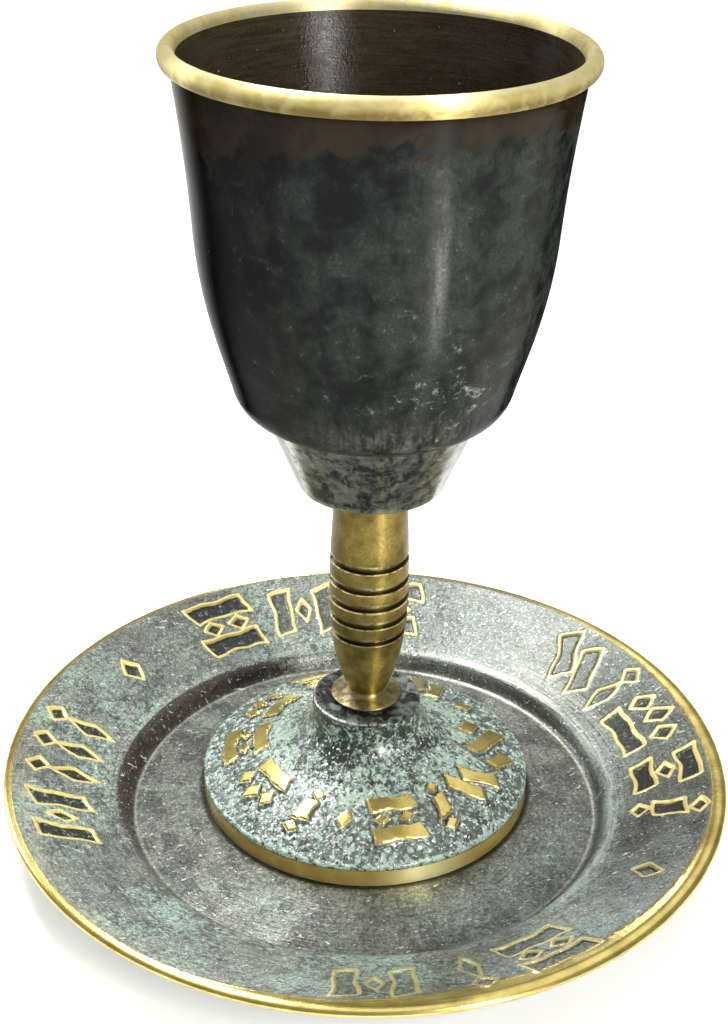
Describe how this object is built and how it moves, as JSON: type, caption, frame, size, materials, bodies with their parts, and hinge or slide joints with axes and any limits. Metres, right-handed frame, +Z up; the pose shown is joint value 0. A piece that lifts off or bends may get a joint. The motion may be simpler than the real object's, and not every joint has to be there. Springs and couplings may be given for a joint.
{
  "type": "kiddush cup",
  "caption": "Footed goblet with a rolled rim and turned stem, standing on a matching saucer; raised and engraved ornamental strokes.",
  "frame": {"origin": "centre of the saucer's flat underside", "axes": "+Z up along the cup; -Y is the side seen from the front; the cup stands 5 mm behind the saucer's centre, towards +Y"},
  "size_m": [0.127, 0.127, 0.1349],
  "materials": {
    "grey_patina": "grey-green patina over brushed brass, polished edge",
    "verdigris": "mottled verdigris over stippled cast brass, polished strokes and edge",
    "satin_brass": "satin turned brass with dark grooves",
    "dark_patina": "near-black grey-green patina, satin, polished rim"
  },
  "bodies": {
    "root": {"saucer": "grey_patina", "foot": "verdigris", "stem": "satin_brass", "bowl": "dark_patina"}
  },
  "joints": []
}
